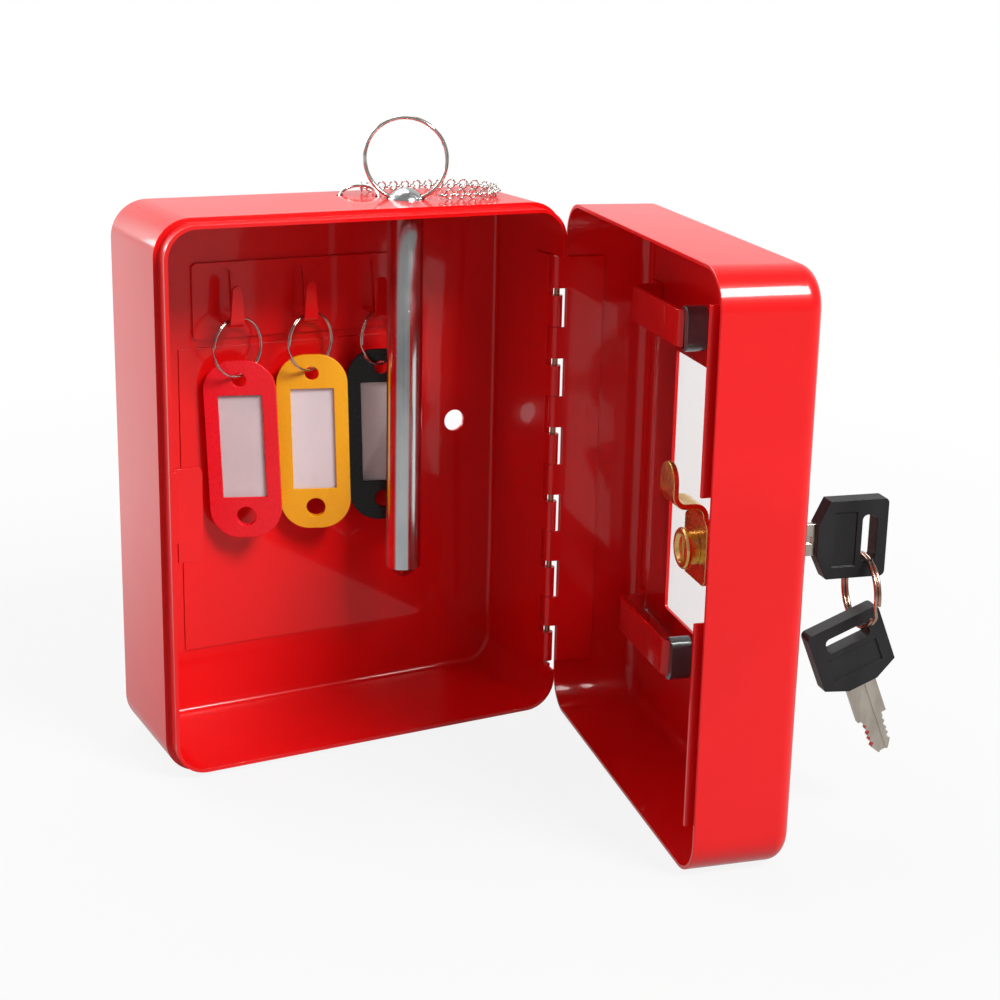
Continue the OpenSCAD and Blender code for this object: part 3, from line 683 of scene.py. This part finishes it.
# Sub-assemblies


@dataclass
class Assembly:
    """A sub-assembly that softens and coats its CAD nodes.

    Args:
        name: Its name in the log.
        merge_within: Distance in metres within which vertices are joined.
        flat_within: Angle within which neighbouring faces are joined.
        bevel_over: Angle over which an edge is rounded.

    In the sub-assemblies a field that ends in _round is the reach of a rounding in millimetres,
    and crossing is the angle at which a split ring's two turns cross.
    """

    name: str
    merge_within: float = 0.002 * MM
    flat_within: float = math.radians(0.6)
    bevel_over: float = math.radians(32.0)

    def report(self, piece: bpy.types.Object) -> None:
        """Logs a finished piece."""
        LOG.info("%s: %s, %d faces", self.name, piece.name, len(piece.data.polygons))

    def keep(self, node: str, finish: Coat) -> None:
        """Coats a CAD node that stays as it is."""
        obj = frame["nodes"][node]
        coat(obj, finish)
        self.report(obj)

    def soften(
        self, node: str, finish: Coat, width: float, slot: str, segments: int = 2
    ) -> None:
        """Puts a copy with rounded edges in the place of a CAD node.

        The copy's mesh is merged, its flat faces are joined and its edges are bevelled.

        Args:
            node: The CAD node.
            finish: Its finish.
            width: How far the rounding reaches from an edge, in millimetres.
            slot: The record's material slot; not used.
            segments: Faces across the rounding.
        """
        source = frame["nodes"][node]
        mesh = source.data.copy()
        if mesh.attributes.get("custom_normal"):
            mesh.attributes.remove(mesh.attributes["custom_normal"])
        work = bmesh.new()
        work.from_mesh(mesh)
        bmesh.ops.remove_doubles(work, verts=work.verts, dist=self.merge_within)
        bmesh.ops.dissolve_limit(
            work, angle_limit=self.flat_within, verts=work.verts, edges=work.edges
        )
        work.to_mesh(mesh)
        work.free()
        mesh.polygons.foreach_set("use_smooth", np.ones(len(mesh.polygons), bool))
        mesh.set_sharp_from_angle(angle=math.pi)
        piece = bpy.data.objects.new(f"{node}_finished", mesh)
        bpy.context.scene.collection.objects.link(piece)
        bevel = piece.modifiers.new("rounded", "BEVEL")
        bevel.limit_method = "ANGLE"
        bevel.angle_limit = self.bevel_over
        bevel.width = width * MM
        bevel.segments = segments
        bevel.use_clamp_overlap = True
        bevel.harden_normals = True
        coat(piece, finish)
        self.place(piece, source["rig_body"], slot, node)

    def place(self, piece: bpy.types.Object, body: str, slot: str, node: str) -> None:
        """Lets a piece ride on a body in the place of a CAD node."""
        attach(piece, body)
        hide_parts(node)
        self.report(piece)

    def wind(self, ring: SplitRing, node: str, finish: Coat, body: str) -> None:
        """Puts a wound ring in the place of a CAD ring.

        Args:
            ring: The wound ring.
            node: The CAD ring.
            finish: Its finish.
            body: The body that it rides on.
        """
        piece = ring.build(f"{node}_wound")
        coat(piece, finish)
        self.place(piece, body, "nickel_wire", node)


@dataclass
class Shells(Assembly):
    """Drawn body and lid with the hook plate, the guard strip and the keeper."""

    name: str = "shells"
    rim_round: float = 0.35
    hook_round: float = 0.5
    strip_round: float = 0.15
    keeper_round: float = 0.1

    def dress(self) -> None:
        """Rounds the sheet's edges and gives them the red coat."""
        for node, width, segments in (
            ("body_shell", self.rim_round, 3), ("lid_shell", self.rim_round, 3),
            ("hook_plate", self.hook_round, 3), ("lid_guard_strip", self.strip_round, 2),
            ("latch_keeper", self.keeper_round, 2),
        ):
            self.soften(node, Coat.RED, width, "red_paint", segments)


@dataclass
class Hinge(Assembly):
    """Piano hinge."""

    name: str = "hinge"
    knuckle_round: float = 0.22

    def dress(self) -> None:
        """Rounds the ends of the knuckles and coats leaves and pin."""
        for node in ("hinge_leaf_body", "hinge_leaf_lid"):
            self.soften(node, Coat.RED, self.knuckle_round, "red_paint")
        self.keep("hinge_pin", Coat.PIN)


@dataclass
class Window(Assembly):
    """Pane, clips and sleeves."""

    name: str = "window"
    pane_round: float = 0.25
    clip_round: float = 0.3
    sleeve_round: float = 0.5

    def dress(self) -> None:
        """Breaks the pane's edges, rounds the straps and softens the sleeves."""
        self.soften("glass_pane", Coat.GLASS, self.pane_round, "window_glass")
        for end in ("top", "bottom"):
            self.soften(f"glass_clip_{end}", Coat.RED, self.clip_round, "red_paint")
            self.soften(f"clip_sleeve_{end}", Coat.SLEEVE, self.sleeve_round, "grey_sleeve", 3)


@dataclass
class Lock(Assembly):
    """Cam lock in the lid."""

    name: str = "lock"
    edge_round: float = 0.3
    plug_round: float = 0.12

    def dress(self) -> None:
        """Rounds and plates the lock's pieces."""
        self.soften("lock_barrel", Coat.FITTING, self.edge_round, "plated_steel")
        self.soften("lock_nut", Coat.FITTING, self.edge_round, "plated_steel")
        self.soften("lock_plug", Coat.FITTING, self.plug_round, "plated_steel")
        for node in ("lock_cam", "cam_nut"):
            self.soften(node, Coat.YELLOW_ZINC, self.edge_round, "yellow_zinc")
        self.keep("lock_wafers", Coat.BRASS)
        self.keep("wafer_springs", Coat.WIRE)


@dataclass
class Keys(Assembly):
    """Two keys on a split ring."""

    name: str = "keys"
    wire: float = 1.0 * MM
    diameter: float = 19.9 * MM
    crossing: float = math.radians(200.0)
    blade_round: float = 0.12
    bow_round: float = 0.55

    def dress(self) -> None:
        """Rounds the bows and blades and winds the ring."""
        for key in ("key", "spare_key"):
            self.soften(f"{key}_blade", Coat.KEY, self.blade_round, "nickel_key")
            self.soften(f"{key}_bow", Coat.BLACK, self.bow_round, "black_plastic", 3)
        ring = SplitRing(middle_of("key_ring"), LID_ACROSS, UP,
                         (self.diameter - self.wire) / 2, self.wire, self.crossing)
        self.wind(ring, "key_ring", Coat.RING_WIRE, "ring_of_keys")


@dataclass
class Striker(Assembly):
    """Rod, its ring, the anchor ring and the chain."""

    name: str = "striker"
    ring_degrees: float = -30.0
    ring_radius: float = 11.25 * MM
    wire: float = 1.0 * MM
    crossing: float = math.radians(40.0)
    rod_round: float = 0.25
    link_round: float = 0.08

    def dress(self) -> None:
        """Plates the rod, winds its ring and coats the anchor ring and the chain."""
        self.soften("striker_rod", Coat.ROD, self.rod_round, "plated_steel")
        ring = SplitRing(middle_of("striker_ring"), turned(self.ring_degrees), UP,
                         self.ring_radius, self.wire, self.crossing)
        self.wind(ring, "striker_ring", Coat.WIRE, "striker_pull")
        self.keep("anchor_ring", Coat.WIRE)
        self.soften("retaining_chain", Coat.WIRE, self.link_round, "nickel_wire")


@dataclass
class Tags(Assembly):
    """Three key tags on their rings.

    Args:
        tags: Colour, finish and the ring's direction in degrees from +X, of each tag.
        crossing: Angle of a ring's crossing in degrees, for a ring that lies along +X.
        crossing_share: Degrees that the crossing moves on for each degree of the direction.
    """

    name: str = "tags"
    tags: tuple[tuple[str, Coat, float], ...] = (
        ("red", Coat.TAG_RED, 19.0),
        ("yellow", Coat.TAG_YELLOW, 22.0),
        ("black", Coat.TAG_BLACK, 26.0),
    )
    ring_radius: float = 8.17 * MM
    wire: float = 0.62 * MM
    crossing: float = 150.0
    crossing_share: float = 2.0
    frame_round: float = 0.4

    def dress(self) -> None:
        """Rounds the frames, winds the rings and coats labels and films."""
        for colour, finish, degrees in self.tags:
            self.soften(f"tag_frame_{colour}", finish, self.frame_round, f"{colour}_plastic", 3)
            self.keep(f"tag_label_{colour}", Coat.PAPER)
            self.keep(f"tag_film_{colour}", Coat.FILM)
            node = f"tag_ring_{colour}"
            crossing = math.radians(self.crossing + self.crossing_share * degrees)
            ring = SplitRing(middle_of(node), turned(degrees), UP,
                             self.ring_radius, self.wire, crossing)
            self.wind(ring, node, Coat.WIRE, f"{node}_body")


# Studio


@dataclass(frozen=True)
class Lamp:
    """A square lamp: place, aim and size in metres, power in watts."""

    name: str
    place: Triple
    aim: Triple
    size: float
    power: float


@dataclass(frozen=True)
class Studio:
    """Camera, pale floor, soft lamps and white surroundings.

    Args:
        camera_place: The camera's place in metres.
        yaw: Its turn to the right of +Y, in radians.
        pitch: Its turn down.
        roll: Its turn round the line of sight.
        focal_pixels: Focal length in pixels.
        principal: The pixel that the line of sight meets.
        picture: Width and height of the photograph in pixels.
        sensor: Width of the sensor in millimetres.
        nearest: Distance of the camera's near limit in metres.
        floor_reach: Half the floor's width in metres.
        floor_gap: Distance of the floor below the box in metres.
        floor_tones: Lowest and highest tone of the floor's grain.
        floor_grain: Cells of the grain in a metre.
        behind_span: Depth over which the floor's reflected glow grows, in metres.
        front_glow: Reflected glow of the floor in front of the box; behind it is 1.
        far_span: Distance over which the shadow on the floor fades, in metres.
        near_share: Share of white on the floor under the box; the rest shows the shadow.
        fade_share: Share of white that is added far from the box.
        room_span: Depth of a direction over which the room gets bright.
        room_light: The room's light in front of the box and behind it.
        lamps: The lamps.
    """

    camera_place: Triple = (-0.19726, -0.489805, 0.144758)
    yaw: float = 0.523274
    pitch: float = 0.264136
    roll: float = 0.031779
    focal_pixels: float = 1869.24
    principal: tuple[float, float] = (570.21, 446.24)
    picture: float = 1000.0
    sensor: float = 36.0
    nearest: float = 0.01
    floor_reach: float = 4.0
    floor_gap: float = 0.2 * MM
    floor_tones: Span = (0.42, 0.45)
    floor_grain: float = 30.0
    behind_span: Span = (-0.05, 0.25)
    front_glow: float = 0.5
    far_span: Span = (0.12, 0.5)
    near_share: float = 0.88
    fade_share: float = 0.12
    room_span: Span = (0.0, 0.5)
    room_light: Span = (0.28, 0.66)
    lamps: tuple[Lamp, ...] = (
        Lamp("key", (0.42, -1.08, 1.05), (0.0, -0.03, 0.0), 0.5, 26.0),
        Lamp("side", (-0.65, 0.85, 0.45), (0.0, -0.02, 0.0), 0.7, 8.0),
        Lamp("top", (0.0, 0.6, 1.0), (0.0, -0.03, 0.0), 0.8, 7.0),
    )

    def build(self) -> None:
        """Makes the whole studio."""
        self.place_camera()
        self.lay_floor()
        self.light()

    def place_camera(self) -> None:
        """Sets the camera up as the photograph was taken."""
        data = bpy.data.cameras.new("photo_camera")
        data.sensor_width = self.sensor
        data.lens = self.focal_pixels / self.picture * self.sensor
        data.shift_x = 0.5 - self.principal[0] / self.picture
        data.shift_y = self.principal[1] / self.picture - 0.5
        data.clip_start = self.nearest
        yaw, pitch, roll = self.yaw, self.pitch, self.roll
        forward = np.array([math.sin(yaw) * math.cos(pitch), math.cos(yaw) * math.cos(pitch),
                            -math.sin(pitch)])
        right = np.array([math.cos(yaw), -math.sin(yaw), 0.0])
        up = np.cross(right, forward)
        turned_right = right * math.cos(roll) + up * math.sin(roll)
        turned_up = up * math.cos(roll) - right * math.sin(roll)
        camera = bpy.data.objects.new("photo_camera", data)
        turn = Matrix(np.stack([turned_right, turned_up, -forward], axis=1).tolist())
        camera.matrix_world = Matrix.Translation(self.camera_place) @ turn.to_4x4()
        bpy.context.scene.collection.objects.link(camera)
        bpy.context.scene.camera = camera

    def lay_floor(self) -> None:
        """Lays the floor: white to the eye, with a faint shadow near the box.

        Reflections see it bright behind the box and dim before it, as the room is.
        """
        corners = np.array([[-1.0, -1.0, 0.0], [1.0, -1.0, 0.0], [1.0, 1.0, 0.0],
                            [-1.0, 1.0, 0.0]])
        floor = make_piece("floor", self.floor_reach * corners, [[0, 1, 2, 3]])
        floor.location = (0.0, 0.0, float(BOX_OF_CAD[0].z) - self.floor_gap)
        graph = Graph("pale_floor")
        low, high = self.floor_tones
        grain = graph.mix(graph.noise(self.floor_grain), (low, low, low), (high, high, high))
        matt = graph.node("ShaderNodeBsdfDiffuse", None, {0: grain})
        axes = graph.node("ShaderNodeSeparateXYZ", None, {0: graph.place})
        behind = Term(graph, axes.outputs[1]).over(self.behind_span)
        reach = graph.node("ShaderNodeVectorMath", {"operation": "LENGTH"}, {0: graph.place})
        far = Term(graph, reach.outputs["Value"]).over(self.far_span)
        path = graph.node("ShaderNodeLightPath")
        seen = (Term(graph, path.outputs["Is Camera Ray"])
                + Term(graph, path.outputs["Is Transmission Ray"]))
        mirrored = Term(graph, path.outputs["Is Glossy Ray"]) * (1.0 - seen)
        dim = (self.front_glow, self.front_glow, self.front_glow)
        tone = graph.mix(seen + mirrored * behind, dim, (1.0, 1.0, 1.0))
        glow = graph.node("ShaderNodeEmission", None, {0: tone, 1: 1.0})
        share = seen * (self.near_share + self.fade_share * far) + mirrored
        both = graph.node("ShaderNodeMixShader", None,
                          {0: share, 1: matt.outputs[0], 2: glow.outputs[0]})
        graph.node("ShaderNodeOutputMaterial", None, {0: both.outputs[0]})
        floor.data.materials.append(graph.material)

    def light(self) -> None:
        """Hangs the lamps, sets the room and shows colours as they are."""
        for lamp in self.lamps:
            data = bpy.data.lights.new(f"{lamp.name}_lamp", "AREA")
            data.size = lamp.size
            data.energy = lamp.power
            hung = bpy.data.objects.new(f"{lamp.name}_lamp", data)
            hung.location = lamp.place
            line = Vector(lamp.aim) - Vector(lamp.place)
            hung.rotation_euler = line.to_track_quat("-Z", "Y").to_euler()
            bpy.context.scene.collection.objects.link(hung)
        bpy.context.scene.world = self.surroundings()
        bpy.context.scene.view_settings.view_transform = "Standard"

    def surroundings(self) -> bpy.types.World:
        """Returns the room: white to the eye, bright behind the box, dim in front of it."""
        world = bpy.data.worlds.new("white_room")
        world.use_nodes = True
        tree = world.node_tree
        tree.nodes.clear()
        direction = tree.nodes.new("ShaderNodeSeparateXYZ")
        tree.links.new(tree.nodes.new("ShaderNodeTexCoord").outputs["Generated"],
                       direction.inputs[0])
        depth = tree.nodes.new("ShaderNodeMapRange")
        depth.interpolation_type = "SMOOTHSTEP"
        for number, value in enumerate(self.room_span + self.room_light, start=1):
            depth.inputs[number].default_value = value
        tree.links.new(direction.outputs[1], depth.inputs[0])
        path = tree.nodes.new("ShaderNodeLightPath")
        either = tree.nodes.new("ShaderNodeMath")
        either.operation = "MAXIMUM"
        tree.links.new(path.outputs["Is Camera Ray"], either.inputs[0])
        tree.links.new(path.outputs["Is Transmission Ray"], either.inputs[1])
        strength = tree.nodes.new("ShaderNodeMath")
        strength.operation = "MAXIMUM"
        tree.links.new(either.outputs[0], strength.inputs[0])
        tree.links.new(depth.outputs[0], strength.inputs[1])
        background = tree.nodes.new("ShaderNodeBackground")
        background.inputs[0].default_value = (1.0, 1.0, 1.0, 1.0)
        tree.links.new(strength.outputs[0], background.inputs[1])
        output = tree.nodes.new("ShaderNodeOutputWorld")
        tree.links.new(background.outputs[0], output.inputs[0])
        return world


def main() -> None:
    """Builds the studio and dresses every sub-assembly in order."""
    logging.basicConfig(level=logging.INFO)
    Studio().build()
    for assembly in (Shells(), Hinge(), Window(), Lock(), Keys(), Striker(), Tags()):
        assembly.dress()


if __name__ == "__main__":
    main()
